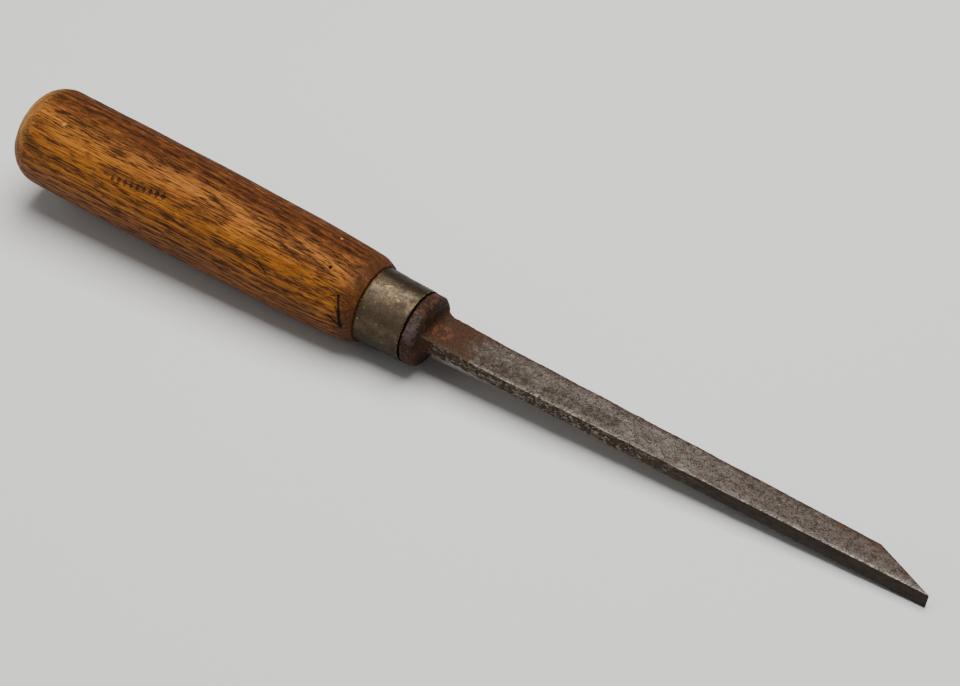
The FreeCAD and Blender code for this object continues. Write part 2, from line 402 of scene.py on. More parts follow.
PIN_HOLE = on_drum(113.0, 121.6)
BUTT_DING = on_drum(17.6, 119.0)
SIDE_DING = on_drum(32.7, 74.6)
SOFT_DENT = on_drum(50.9, 102.0)
LIGHT_SPOT = on_drum(109.6, 78.0)
GOUGE = [on_drum(119.0, 147.0), on_drum(120.6, 166.0), on_drum(121.9, 186.0)]
GOUGE_ARM = [on_drum(117.9, 177.0), on_drum(121.9, 186.0)]
GOUGE_REACH = (115.0, 124.0)
GOUGE_SIDE = -6.0
SCRATCH = [on_drum(92.8, 155.0), on_drum(96.1, 163.0)]
# (place, size in millimetres, share of the deepest mark)
DENTS = [
    (PIN_HOLE, 0.75, 1.0), (BUTT_DING, 1.3, 0.5), (SIDE_DING, 1.5, 0.5), (SOFT_DENT, 2.2, 0.4),
]
DEEPEST_MARK = 0.55
STAMP_START = on_drum(39.0, 147.5)
STAMP_END = on_drum(58.5, 139.0)
DIAMONDS = 9
DIAMOND_LONG = 0.85
DIAMOND_WIDE = 1.25
stamp_run = STAMP_END - STAMP_START
stamp_pitch = stamp_run.length / DIAMONDS
stamp_way = stamp_run.normalized()
stamp_side = stamp_way.cross(Vector((0, STAMP_START.y, STAMP_START.z))).normalized()
print(f"{DIAMONDS} stamped diamonds, {stamp_pitch:.1f} mm apart")


def diamond_depth(p):
    """1 in the middle of a stamped diamond, 0 outside the row."""
    reach = (p - STAMP_START).dot(stamp_way)
    aside = (p - STAMP_START).dot(stamp_side)
    if not 0 < reach < stamp_run.length or from_line(p, STAMP_START, STAMP_END) > 2.5:
        return 0.0
    from_middle = abs((reach / stamp_pitch) % 1.0 - 0.5) * stamp_pitch
    return ramp_between(from_middle / DIAMOND_LONG + abs(aside) / DIAMOND_WIDE, 1.15, 0.6)


# %% [markdown]
# ## Aged ash
#
# Ash is ring-porous: each year starts with a band of wide open pores, which fill with dirt and
# show as dark broken streaks, and ends with dense pale wood. The rings here are cylinders about a
# distant heart of the tree, cut through by the turned surface. Noises stretched far along the
# axis make the pores and the finer fibres. Old oil darkens the whole to orange-brown, the wood
# grows darker towards the far side and towards the underside, and the butt's rim is rubbed pale.
# The wood left in the gap in front of the ferrule is near-black: dirt, and painted shade in the
# gap.

# %% Growth rings and stamped diamonds
RING_SPACING = 1.7
HEART = (0.0, 24.0, -31.0)


def ash_rings(tree, place, parts):
    """1 in the open-pored early wood of each year's ring, 0 in the dense late wood."""
    drift = clouds(tree, stretched(tree, place, 0.012, 0.06), 1.0, 2.0)
    aside = calc(tree, "SUBTRACT", parts["Y"], HEART[1])
    above = calc(tree, "SUBTRACT", parts["Z"], HEART[2])
    squares = calc(tree, "MULTIPLY_ADD", aside, aside, product(tree, above, above))
    from_heart = calc(tree, "MULTIPLY_ADD", drift, 9.0, calc(tree, "SQRT", squares))
    year = calc(tree, "FRACT", calc(tree, "DIVIDE", from_heart, RING_SPACING))
    return product(tree, fade(tree, year, 0.0, 0.12), fade(tree, year, 0.35, 0.8, 1.0, 0.0))


def drum_place(tree, parts):
    """(the place projected onto the drum, its true distance from the axis)."""
    radial = node(tree, "ShaderNodeCombineXYZ", {"Y": parts["Y"], "Z": parts["Z"]}).outputs[0]
    radius = node(tree, "ShaderNodeVectorMath", {0: radial}, operation="LENGTH").outputs["Value"]
    grown = calc(tree, "DIVIDE", DRUM, calc(tree, "MAXIMUM", radius, 0.001))
    out = node(tree, "ShaderNodeVectorMath", {0: radial, "Scale": grown}, operation="SCALE")
    up = node(tree, "ShaderNodeCombineXYZ", {"X": parts["X"]}).outputs[0]
    drum = node(tree, "ShaderNodeVectorMath", {0: out.outputs[0], 1: up}, operation="ADD")
    return drum.outputs[0], radius


def stamped(tree, place):
    """1 in the stamped diamonds."""
    reach = along(tree, place, STAMP_START, stamp_way)
    aside = calc(tree, "ABSOLUTE", along(tree, place, STAMP_START, stamp_side))
    turns = calc(tree, "FRACT", calc(tree, "DIVIDE", reach, stamp_pitch))
    from_middle = calc(tree, "ABSOLUTE", calc(tree, "SUBTRACT", turns, 0.5))
    lengthwise = product(tree, from_middle, stamp_pitch / DIAMOND_LONG)
    outline = calc(tree, "MULTIPLY_ADD", aside, 1 / DIAMOND_WIDE, lengthwise)
    row = score(tree, place, STAMP_START, STAMP_END, 4.5)
    begins = fade(tree, reach, 0.0, 0.1)
    ends = fade(tree, reach, stamp_run.length, stamp_run.length - 0.1)
    return product(tree, fade(tree, outline, 1.1, 0.75), fade(tree, row, 0.3, 0.5), begins, ends)


# %% Colours of the ash
DARK_FIBRE = (0.185, 0.050, 0.006)
LIGHT_FIBRE = (0.50, 0.182, 0.020)
EARLY_WOOD = (0.13, 0.040, 0.007)
BROAD_PATCH = (0.125, 0.036, 0.006)
DARKER_FAR_SIDE_WOOD = (0.066, 0.015, 0.0018)
DIRT_SMUDGE = (0.05, 0.018, 0.006)
UNDERSIDE_DARK_WOOD = (0.080, 0.021, 0.003)
OPEN_PORE = (0.020, 0.009, 0.005)
SHOULDER_GRIME = (0.085, 0.028, 0.007)
RUBBED_RIM = (0.56, 0.30, 0.085)
BUTT_WOOD = (0.120, 0.052, 0.018)
BARE_WOOD = (0.56, 0.32, 0.10)
# Dirt in the cuts, and painted shade in the gap before the bolster.
DIRT_AND_GAP_SHADE = (0.010, 0.005, 0.004)

# %% Ash material


def ash_grain(tree, place, early):
    """(dark open pores, paler and darker fibres, broad patches, smudges of dirt)."""
    streaks = clouds(tree, stretched(tree, place, 0.05, 1.0), 3.4, 3.0, 0.6)
    pores = fade(tree, calc(tree, "MULTIPLY_ADD", early, 0.07, streaks), 0.56, 0.625)
    fibre = clouds(tree, stretched(tree, place, 0.022, 1.0), 2.6, 4.0, 0.7)
    patches = clouds(tree, stretched(tree, place, 0.3, 1.0), 0.12, 4.0, 0.6)
    smudges = clouds(tree, stretched(tree, place, 0.5, 1.0), 0.5, 4.0, 0.65)
    return pores, fibre, patches, smudges


def ash_material():
    material, tree, shader = new_material("oiled_ash")
    place = tool_place(tree)
    parts = node(tree, "ShaderNodeSeparateXYZ", {0: place}).outputs
    drum, radius = drum_place(tree, parts)
    early = ash_rings(tree, place, parts)
    pores, fibre, patches, smudges = ash_grain(tree, place, early)

    wood = blend(tree, fade(tree, fibre, 0.34, 0.66), DARK_FIBRE, LIGHT_FIBRE)
    wood = blend(tree, product(tree, early, 0.35), wood, EARLY_WOOD)
    wood = blend(tree, fade(tree, patches, 0.42, 0.70, 0.0, 0.38), wood, BROAD_PATCH)
    # The wood is darker towards the far side, away from the flat back.
    darker_far_side = fade(tree, parts["Y"], -9.0, 0.5, 0.0, 0.9)
    darker_far_side = product(tree, darker_far_side, fade(tree, smudges, 0.22, 0.58, 0.45, 1.0))
    wood = blend(tree, darker_far_side, wood, DARKER_FAR_SIDE_WOOD)
    wood = blend(tree, fade(tree, smudges, 0.56, 0.74, 0.0, 0.6), wood, DIRT_SMUDGE)
    # The wood is darker towards the underside.
    underside_dark = fade(tree, parts["Z"], 4.0, -7.0, 0.0, 0.55)
    wood = blend(tree, underside_dark, wood, UNDERSIDE_DARK_WOOD)
    wood = blend(tree, product(tree, pores, 0.86), wood, OPEN_PORE)

    shoulder = fade(tree, parts["X"], ferrule_start - 8.0, ferrule_start - 1.5)
    shoulder = product(tree, shoulder, fade(tree, smudges, 0.25, 0.55, 0.45, 0.9))
    wood = blend(tree, shoulder, wood, SHOULDER_GRIME)
    upper_side = fade(tree, parts["Z"], -2.0, 11.0, 0.2, 1.0)
    corner = fade(tree, radius, 8.5, 11.5)
    hard_fibre = fade(tree, fibre, 0.66, 0.42, 0.35, 1.0)
    rim = product(tree, fade(tree, parts["X"], 10.0, 2.0), upper_side, corner, hard_fibre)
    wood = blend(tree, product(tree, rim, 0.75), wood, RUBBED_RIM)
    butt_end = product(tree, fade(tree, parts["X"], 3.0, 0.9), fade(tree, radius, 11.0, 8.0))
    wood = blend(tree, product(tree, butt_end, 0.55), wood, BUTT_WOOD)
    ding = nearness(tree, drum, BUTT_DING, 0.1, 0.85)
    spots = most(tree, ding, nearness(tree, drum, LIGHT_SPOT, 0.1, 0.7))
    wood = blend(tree, product(tree, spots, 0.8), wood, BARE_WOOD)

    # Near-black in the pin hole, gouge, scratch and stamp, where dirt sits, and on the wood past
    # the ferrule's front, where it is painted shade in the gap before the bolster.
    cuts_and_gap_shade = most(
        tree,
        fade(tree, parts["X"], ferrule_start + 1.0, ferrule_end - 1.0),
        nearness(tree, drum, PIN_HOLE, 0.4, 0.8),
        score(tree, drum, GOUGE[0], GOUGE[1], 0.5),
        score(tree, drum, GOUGE[1], GOUGE[2], 0.75),
        score(tree, drum, GOUGE_ARM[0], GOUGE_ARM[1], 0.5),
        product(tree, score(tree, drum, SCRATCH[0], SCRATCH[1], 0.4), 0.8),
        product(tree, stamped(tree, drum), 0.72),
    )
    wood = blend(tree, cuts_and_gap_shade, wood, DIRT_AND_GAP_SHADE)
    put(tree, shader.inputs["Base Color"], wood)

    gloss = calc(tree, "MULTIPLY_ADD", fibre, 0.3, 0.38)
    gloss = calc(tree, "MULTIPLY_ADD", darker_far_side, 0.25, gloss)
    dull = most(tree, pores, cuts_and_gap_shade)
    put(tree, shader.inputs["Roughness"], calc(tree, "MULTIPLY_ADD", dull, 0.3, gloss))
    shader.inputs["Specular IOR Level"].default_value = 0.16
    height = calc(tree, "MULTIPLY_ADD", pores, -1.0, product(tree, fibre, 0.5))
    put(tree, shader.inputs["Normal"], relief(tree, height, 0.2))
    return material


# %% [markdown]
# ## Dull brass
#
# Brass left alone turns olive brown. Handling keeps the high spots a greyish gold, and every
# fresh scratch shows bright metal. The tarnish is less of a mirror than the metal, so the same
# noise that browns the colour also roughens it and takes away some of its metal. The scratches
# are the borders of warped cells, of which a second noise keeps only short stretches.

# %% Places and patterns on the brass
BRASS_SPARKS = [
    (131.5, -4.6, 10.4), (133.4, -4.0, 10.5), (134.8, -4.8, 10.1), (129.1, -7.7, 8.4),
    (125.9, -11.2, 2.7), (131.9, -10.8, 3.5),
]
HANDLED_SPOT = (132.0, -4.5, 10.0)
BRASS_SCRATCH = [(128.8, -2.9, 11.1), (130.6, -1.9, 11.2)]


def hairlines(tree, place, cell_scale, width, kept):
    """Short curved scratches: stretches of the borders between warped cells."""
    bend = node(tree, "ShaderNodeTexNoise", {"Vector": place, "Scale": 0.55, "Detail": 2.0})
    warped = node(tree, "ShaderNodeVectorMath", {
        0: bend.outputs["Color"], 1: (2.6, 2.6, 2.6), 2: place,
    }, operation="MULTIPLY_ADD").outputs[0]
    cells = node(tree, "ShaderNodeTexVoronoi", {
        "Vector": warped, "Scale": cell_scale,
    }, feature="DISTANCE_TO_EDGE")
    keep = clouds(tree, place, 0.9, 2.0, 0.5)
    border = fade(tree, cells.outputs["Distance"], width, width * 0.3)
    return product(tree, border, fade(tree, keep, kept, kept + 0.05))


def brass_scratches(tree, place, seams, specks):
    """1 where bright metal shows: hairlines, sparks, one long scratch and the rubbed rims."""
    handled = nearness(tree, place, HANDLED_SPOT, 2.5, 7.0)
    result = most(
        tree,
        product(tree, hairlines(tree, place, 0.5, 0.04, 0.57), handled, 0.8),
        product(tree, hairlines(tree, place, 0.45, 0.03, 0.61), 0.5),
        product(tree, score(tree, place, BRASS_SCRATCH[0], BRASS_SCRATCH[1], 0.35), 0.9),
        product(tree, seams, fade(tree, specks, 0.55, 0.62)),
    )
    for spark in BRASS_SPARKS:
        result = most(tree, result, nearness(tree, place, spark, 0.1, 0.4))
    return result


# %% Colours of the brass
HANDLED_BRASS = (0.135, 0.098, 0.063)
TARNISHED_BRASS = (0.046, 0.030, 0.015)
TURNING_MARK = (0.070, 0.046, 0.022)
DARK_SPECK = (0.030, 0.018, 0.008)
SHADED_BRASS = (0.020, 0.0112, 0.0028)
SEAM_DIRT = (0.022, 0.013, 0.006)
BRIGHT_BRASS = (0.50, 0.31, 0.10)

# %% Brass material


def brass_material():
    material, tree, shader = new_material("dull_brass")
    place = tool_place(tree)
    parts = node(tree, "ShaderNodeSeparateXYZ", {0: place}).outputs
    blotches = clouds(tree, place, 0.3, 4.0, 0.6)
    specks = clouds(tree, place, 2.4, 4.0, 0.65)
    rings = clouds(tree, stretched(tree, place, 2.4, 0.1), 1.0, 3.0, 0.6)
    tarnish = fade(tree, calc(tree, "MULTIPLY_ADD", specks, 0.6, blotches), 0.62, 1.02)
    shaded = most(tree, fade(tree, parts["Y"], -2.5, 2.5), fade(tree, parts["Z"], 4.0, -3.5))

    colour = blend(tree, tarnish, HANDLED_BRASS, TARNISHED_BRASS)
    colour = blend(tree, fade(tree, rings, 0.5, 0.7, 0.0, 0.35), colour, TURNING_MARK)
    colour = blend(tree, fade(tree, specks, 0.56, 0.68, 0.0, 0.5), colour, DARK_SPECK)
    colour = blend(tree, product(tree, shaded, 0.86), colour, SHADED_BRASS)
    back_seam = fade(tree, parts["X"], ferrule_start + 0.9, ferrule_start + 0.2)
    front_seam = fade(tree, parts["X"], ferrule_end - 0.8, ferrule_end - 0.2)
    seams = most(tree, back_seam, front_seam)
    colour = blend(tree, product(tree, seams, 0.8), colour, SEAM_DIRT)
    scratches = brass_scratches(tree, place, seams, specks)
    colour = blend(tree, product(tree, scratches, 0.8), colour, BRIGHT_BRASS)
    put(tree, shader.inputs["Base Color"], colour)
    put(tree, shader.inputs["Metallic"], calc(tree, "MULTIPLY_ADD", tarnish, -0.35, 0.85))
    shader.inputs["Specular IOR Level"].default_value = 0.3
    put(tree, shader.inputs["Roughness"], calc(tree, "MULTIPLY_ADD", tarnish, 0.12, 0.46))
    height = calc(tree, "MULTIPLY_ADD", scratches, -0.5, product(tree, specks, 0.8))
    put(tree, shader.inputs["Normal"], relief(tree, height, 0.06))
    return material


# %% [markdown]
# ## Pitted and rusted steel
#
# Three states meet on this one forging. The bolster and the blade's root are covered in brown and
# orange rust. The broad sides are old grey steel, thick with small dark pits and a few rust
# blooms. The flat back, from the middle to the edge, has been ground on a stone, so it is smooth;
# its near-black colour there is painted dark reflection. Masks that follow the axis and the way a
# face looks decide how much of each shows.

# %% Measure the forging in the design


def corner_of(low, high):
    """(near, far, half thickness) of the design's blade between two places along the axis."""
    there = [p for p in blade_points if low <= p.x <= high]
    return min(p.y for p in there), max(p.y for p in there), max(p.z for p in there)


def rim_places(share):
    """Places along the axis where the blade reaches past a share of the bolster's radius."""
    return [p.x for p in blade_points if math.hypot(p.y, p.z) > share * bolster_radius]


def line_through(first, second):
    """(start, slope) of the straight line through two (place, amount) pairs."""
    slope = (second[1] - first[1]) / (second[0] - first[0])
    return first[1] - slope * first[0], slope


bolster_radius = max(math.hypot(p.y, p.z) for p in blade_points)
bolster_back = min(rim_places(0.9))
bolster_front = max(rim_places(0.82))
root = corner_of(bolster_front + 0.9, bolster_front + 1.1)
edge = corner_of(edge_x - 0.01, edge_x + 0.01)
heel_x = max(p.x for p in blade_points if p.y > 0.5 * root[1] and p.x < edge_x - 1)
heel = corner_of(heel_x - 0.01, heel_x + 0.01)
near_line = line_through((bolster_front, root[0]), (edge_x, edge[0]))
far_line = line_through((bolster_front, root[1]), (heel_x, heel[1]))
print(f"bolster {bolster_back:.1f} to {bolster_front:.1f}, heel {heel_x:.1f}, edge {edge_x:.1f} mm")

# %% Places of the rust
# (place, size in millimetres)
RUST_BLOOMS = [
    ((271.3, 5.1, 2.3), 1.3), ((283.3, 4.9, 2.3), 1.8), ((223.5, -2.7, 2.1), 1.9),
    ((233.0, -3.1, 2.2), 1.5), ((176.0, 1.4, 2.0), 0.9), ((182.4, 1.4, 2.0), 0.8),
    ((188.2, 1.8, 2.0), 0.7), ((200.8, -4.6, -1.3), 1.3), ((224.6, -4.2, -1.6), 1.5),
    ((162.5, 1.5, 1.9), 0.8),
]
ROOT_DIMPLE = (147.4, 0.2, 1.9)
SCALE_AND_SHEEN_PATCH = (141.6, -9.4, 5.4)
HOLLOWS = [((160.0, -2.6, 1.9), (176.0, -1.2, 2.0)), ((183.0, -1.6, 2.0), (203.0, 0.4, 2.0))]
GROUND_FROM = 205.0
GROUND_FULLY = 238.0

# %% Colours of the rust
DEEP_RUST = (0.028, 0.013, 0.007)
BROWN_RUST = (0.085, 0.035, 0.014)
LIGHT_RUST = (0.115, 0.045, 0.017)
BLACK_SCALE = (0.012, 0.0055, 0.003)
BROWN_SCALE = (0.058, 0.026, 0.012)
RUST_SCAB = (0.120, 0.047, 0.018)
# Grey scale, with a painted sheen, for the patch on the bolster's side.
GREY_SCALE_AND_SHEEN = (0.085, 0.062, 0.060)
DARK_ORANGE = (0.10, 0.033, 0.012)
FRESH_ORANGE = (0.19, 0.072, 0.030)

# %% Rust


def from_side(tree, parts, line):
    """Distance across the blade from one of its long sides, in millimetres."""
    side = calc(tree, "MULTIPLY_ADD", parts["X"], line[1], line[0])
    return calc(tree, "SUBTRACT", parts["Y"], side)


def rust_on_steel(tree, place, parts, noises):
    """(how much rust shows, how much of it is fresh and orange)."""
    big, mid, fine = noises
    root_rust = fade(tree, parts["X"], bolster_front + 26.0, bolster_front + 7.0)
    past_root = fade(tree, parts["X"], bolster_front + 1.0, bolster_front + 6.0)
    narrow = product(tree, facing(tree, -deep), past_root)
    root_rust = product(tree, root_rust, calc(tree, "MULTIPLY_ADD", narrow, -0.7, 1.0))
    rough_edge = calc(tree, "MULTIPLY_ADD", mid, 0.8, product(tree, big, 0.7))
    rust = fade(tree, calc(tree, "ADD", root_rust, rough_edge), 1.1, 1.62)
    specks = fade(tree, calc(tree, "MULTIPLY_ADD", fine, 0.35, mid), 0.74, 0.86, 0.0, 0.6)
    fringe = fade(tree, from_side(tree, parts, far_line), -1.7, -0.2)
    far_edge = product(tree, fringe, fade(tree, mid, 0.36, 0.56), 0.85)
    tip = product(tree, fade(tree, parts["X"], 262.0, 284.0), fade(tree, mid, 0.44, 0.66), 0.55)
    outside = calc(tree, "SUBTRACT", 1.0, nearness(tree, place, ROOT_DIMPLE, 1.0, 1.9))
    ring = product(tree, nearness(tree, place, ROOT_DIMPLE, 2.3, 3.6), outside)
    fresh = product(tree, ring, fade(tree, mid, 0.36, 0.56))
    for spot, size in RUST_BLOOMS:
        fresh = most(tree, fresh, nearness(tree, place, spot, 0.1, size * 1.2))
    broken = fade(tree, calc(tree, "MULTIPLY_ADD", fine, 0.6, mid), 0.66, 0.9)
    fresh = product(tree, fresh, broken)
    return most(tree, rust, specks, far_edge, tip, fresh), fresh


def rust_colour(tree, place, parts, noises, fresh):
    """Brown rust on the blade, darker scale on the bolster with a grey patch of scale and painted
    sheen, orange where it is fresh.
    """
    mid, fine = noises[1:]
    brown = blend(tree, fade(tree, fine, 0.4, 0.62), DEEP_RUST, BROWN_RUST)
    brown = blend(tree, fade(tree, mid, 0.52, 0.68, 0.0, 0.55), brown, LIGHT_RUST)
    on_bolster = fade(tree, parts["X"], bolster_front + 0.9, bolster_front - 0.5)
    dark_scale = blend(tree, fade(tree, fine, 0.42, 0.62), BLACK_SCALE, BROWN_SCALE)
    brown = blend(tree, product(tree, on_bolster, 0.85), brown, dark_scale)
    scabs = product(tree, on_bolster, fade(tree, mid, 0.50, 0.60), 0.7)
    brown = blend(tree, scabs, brown, RUST_SCAB)
    # A grey patch on the bolster's upper side: grey scale and a painted sheen.
    grey_sheen_patch = nearness(tree, place, SCALE_AND_SHEEN_PATCH, 1.5, 5.0)
    grey_sheen_patch = product(tree, on_bolster, grey_sheen_patch, fade(tree, mid, 0.40, 0.52), 0.85)
    brown = blend(tree, grey_sheen_patch, brown, GREY_SCALE_AND_SHEEN)
    orange = blend(tree, fade(tree, fine, 0.42, 0.6), DARK_ORANGE, FRESH_ORANGE)
    return blend(tree, fresh, brown, orange)


# %% Colours of the bare steel
GREY_STEEL = (0.110, 0.090, 0.074)
PALE_STEEL = (0.205, 0.178, 0.152)
BROWN_GRAIN = (0.080, 0.063, 0.050)
BROWN_ZONE = (0.090, 0.070, 0.055)
PALE_ZONE = (0.190, 0.172, 0.150)
AGED_STEEL = (0.088, 0.068, 0.052)
HOLLOW_STEEL = (0.062, 0.046, 0.035)
FLAKE_DARK = (0.024, 0.016, 0.011)
FLAKE_PALE = (0.230, 0.190, 0.148)
FLAKE_BLOTCH = (0.036, 0.023, 0.015)
# Painted dark reflection: the ground back is coloured near-black to stand for the dark surroundings
# its smooth steel would mirror.
STONED_DARK_REFLECTION = (0.022, 0.017, 0.014)
STONED_PALE_REFLECTION = (0.033, 0.026, 0.022)
PIT_DARK = (0.020, 0.014, 0.010)
FAR_SIDE_STAIN = (0.042, 0.026, 0.017)
# Worn bright steel on the near arris, with a painted highlight along it.
WORN_ARRIS_AND_SHINE = (0.300, 0.268, 0.230)

# %% Bare steel


def bare_steel(tree, place, parts, noises, stoned):
    """(colour of the unrusted steel, its dark pits, its near arris: worn bright steel with a
    painted highlight).
    """
    big, mid, fine = noises
    back = facing(tree, -deep)
    grain = clouds(tree, stretched(tree, place, 0.3, 1.0), 1.3, 4.0, 0.6)
    salt = clouds(tree, place, 2.5, 3.0, 0.6)
    flakes = clouds(tree, stretched(tree, place, 0.4, 1.0), 2.3, 4.0, 0.7)
    zones = clouds(tree, stretched(tree, place, 0.35, 1.0), 0.32, 3.0, 0.6)
    pitted = fade(tree, zones, 0.42, 0.58, 0.15, 1.0)
    pits = product(tree, fade(tree, fine, 0.54, 0.61), fade(tree, mid, 0.44, 0.58))
    salt_pits = product(tree, fade(tree, salt, 0.60, 0.67), pitted)
    pits = most(tree, pits, salt_pits, product(tree, fade(tree, grain, 0.62, 0.70), 0.5))
    pits = product(tree, pits, calc(tree, "SUBTRACT", 1.0, stoned))

    steel = blend(tree, fade(tree, salt, 0.58, 0.40), GREY_STEEL, PALE_STEEL)
    steel = blend(tree, fade(tree, grain, 0.46, 0.66, 0.0, 0.45), steel, BROWN_GRAIN)
    steel = blend(tree, fade(tree, zones, 0.46, 0.64, 0.0, 0.5), steel, BROWN_ZONE)
    steel = blend(tree, fade(tree, big, 0.46, 0.34, 0.0, 0.3), steel, PALE_ZONE)
    aged_edge = fade(tree, parts["X"], 222.0, 250.0, 0.0, 0.5)
    aged_root = fade(tree, parts["X"], 198.0, 168.0, 0.0, 0.45)
    steel = blend(tree, most(tree, aged_edge, aged_root), steel, AGED_STEEL)
    for start, end in HOLLOWS:
        hollow = score(tree, place, start, end, 3.2)
        hollow = product(tree, hollow, fade(tree, mid, 0.35, 0.6, 0.3, 0.75))
        steel = blend(tree, hollow, steel, HOLLOW_STEEL)
    narrow = blend(tree, fade(tree, flakes, 0.46, 0.60), FLAKE_DARK, FLAKE_PALE)
    narrow = blend(tree, fade(tree, mid, 0.46, 0.60, 0.0, 0.8), narrow, FLAKE_BLOTCH)
    steel = blend(tree, back, steel, narrow)
    # The ground back takes the painted dark reflection.
    stoned_reflection = blend(tree, fade(tree, grain, 0.4, 0.6), STONED_DARK_REFLECTION, STONED_PALE_REFLECTION)
    steel = blend(tree, stoned, steel, stoned_reflection)
    steel = blend(tree, product(tree, pits, 0.85), steel, PIT_DARK)
    far_side = fade(tree, from_side(tree, parts, far_line), -2.6, -0.3)
    far_side = product(tree, far_side, fade(tree, mid, 0.32, 0.56), 0.7)
    steel = blend(tree, far_side, steel, FAR_SIDE_STAIN)
    # The near arris of the upper face is lightened: worn bright steel and a painted highlight.
    near = fade(tree, from_side(tree, parts, near_line), 2.4, 0.2)
    arris_wear_and_shine = product(tree, near, facing(tree, thick, 0.3, 0.65))
    arris_wear_and_shine = product(tree, arris_wear_and_shine, fade(tree, parts["X"], 210.0, 290.0, 0.45, 1.0))
    arris_wear_and_shine = product(tree, arris_wear_and_shine, fade(tree, salt, 0.62, 0.42))
    steel = blend(tree, product(tree, arris_wear_and_shine, 0.85), steel, WORN_ARRIS_AND_SHINE)
    return steel, pits, arris_wear_and_shine


# %% Steel material


def steel_material():
    material, tree, shader = new_material("pitted_steel")
    place = tool_place(tree)
    parts = node(tree, "ShaderNodeSeparateXYZ", {0: place}).outputs
    fine = clouds(tree, place, 1.9, 4.0, 0.65)
    noises = clouds(tree, place, 0.13, 4.0, 0.6), clouds(tree, place, 0.6, 4.0, 0.65), fine
    stoned = facing(tree, -deep, 0.75, 0.93)
    stoned = product(tree, stoned, fade(tree, parts["X"], GROUND_FROM, GROUND_FULLY))
    steel, pits, arris_wear_and_shine = bare_steel(tree, place, parts, noises, stoned)
    rust, fresh = rust_on_steel(tree, place, parts, noises)
    rust = product(tree, rust, fade(tree, arris_wear_and_shine, 0.0, 1.0, 1.0, 0.35))
    rust = product(tree, rust, calc(tree, "MULTIPLY_ADD", stoned, -0.9, 1.0))
    colour = blend(tree, rust, steel, rust_colour(tree, place, parts, noises, fresh))
    put(tree, shader.inputs["Base Color"], colour)

    bare = calc(tree, "SUBTRACT", 1.0, most(tree, rust, product(tree, pits, 0.6)))
    put(tree, shader.inputs["Metallic"], calc(tree, "MULTIPLY", bare, 0.8, clamp=True))
    shader.inputs["Specular IOR Level"].default_value = 0.22
    rough = calc(tree, "MULTIPLY_ADD", stoned, -0.1, 0.48)
    rough = calc(tree, "MULTIPLY_ADD", rust, 0.28, rough)
    put(tree, shader.inputs["Roughness"], calc(tree, "MULTIPLY_ADD", pits, 0.15, rough))
    height = calc(tree, "MULTIPLY_ADD", pits, -1.0, product(tree, fine, 0.7))
    height = calc(tree, "MULTIPLY_ADD", rust, product(tree, fine, 0.9), height)
    quiet = calc(tree, "MULTIPLY_ADD", stoned, -0.85, 1.0)
    put(tree, shader.inputs["Normal"], relief(tree, product(tree, height, quiet), 0.16))
    return material


# %% [markdown]
# ## The handle
#
# A turner leaves an almost straight barrel with the lightest swell, then a faster narrowing, then
# a short cone down to the ferrule. All three are shallow arcs between two measured radii, so one
# formula gives their rings. The butt's corner is a quarter round. Past the cone the last rings
# step in to the tenon, and stand out again past the ferrule, because old dirt is packed into the
# gap in front of the bolster.

# %% Turn the handle
BUTT_ROUND = 8.5
BUTT_CROWN = 0.8
CORNER_STEPS = 12
TURNED_SIDES = 60
# (radius of the arc in millimetres, number of rings)
ARCS = [(3500.0, 40), (350.0, 9), (12.0, 4)]
NECK_X = 100.7
SHOULDER_X = 121.1
PACKING_STEP = 0.45


def bowed(start, end, bow, steps):
    """Rings on a shallow arc of radius bow from just past one (place, radius) up to another."""
    made_rings = []
    for step in range(1, steps + 1):
        share = step / steps
        place = start[0] + (end[0] - start[0]) * share
        swell = (place - start[0]) * (end[0] - place) / (2 * bow)
        made_rings.append((place, start[1] + (end[1] - start[1]) * share + swell))
    return made_rings


rings = [(0.02, 0.6), (0.1, 2.4), (0.32, 4.6)]
for step in range(1, CORNER_STEPS + 1):
    turn = math.radians(90 * step / CORNER_STEPS)
    rings.append((
        BUTT_CROWN + BUTT_ROUND * (1 - math.cos(turn)),
        handle_radius - BUTT_ROUND * (1 - math.sin(turn)),
    ))
foot = radius_at(handle_points, ferrule_start - 0.1, ferrule_start + 0.1)
tenon = radius_at(handle_points, handle_end - 0.1, handle_end + 0.1)
stations = [
    (NECK_X, radius_at(handle_points, NECK_X - 0.2, NECK_X + 0.2)),
    (SHOULDER_X, radius_at(handle_points, SHOULDER_X - 0.6, SHOULDER_X + 0.6) - 0.1),
    (ferrule_start - 0.25, foot),
]
for station, (bow, steps) in zip(stations, ARCS):
    rings += bowed(rings[-1], station, bow, steps)
packing = radius_at(ferrule_points, ferrule_end - 1.0, ferrule_end) - PACKING_STEP
rings += [
    (ferrule_start - 0.08, foot - 0.12), (ferrule_start - 0.03, foot - 0.6),
    (ferrule_start - 0.02, tenon), (ferrule_end - 0.3, tenon), (ferrule_end + 0.03, tenon),
    (ferrule_end + 0.05, packing - 0.05), (ferrule_end + 0.08, packing),
    (handle_end - 0.04, packing), (handle_end - 0.01, packing - 0.05),
]
handle = turned("ash_handle", rings, sides=TURNED_SIDES)
rounded_surface(handle, 2)
neck, shoulder = stations[0][1], stations[1][1]
print(f"radius {neck:.2f} at the neck, {shoulder:.2f} at the shoulder, {foot:.2f} at the foot")

# %% [markdown]
# Years of use leave the turned surface a little uneven. The wood is first pressed in by a hair, so
# that no lump of wear carries it past the design. Then come slow hand wear all over, rounding of
# the butt's upper corner where it is struck and rubbed, and knocks near the butt. Last come the
# single marks, in one vertex group that is strongest at each of their places.

# %% Wear the handle


def held_share(p):
    """1 on all the wood that a hand can reach, 0 inside the ferrule."""
    return ramp_between(p.x, ferrule_start + 0.1, ferrule_start - 0.2)


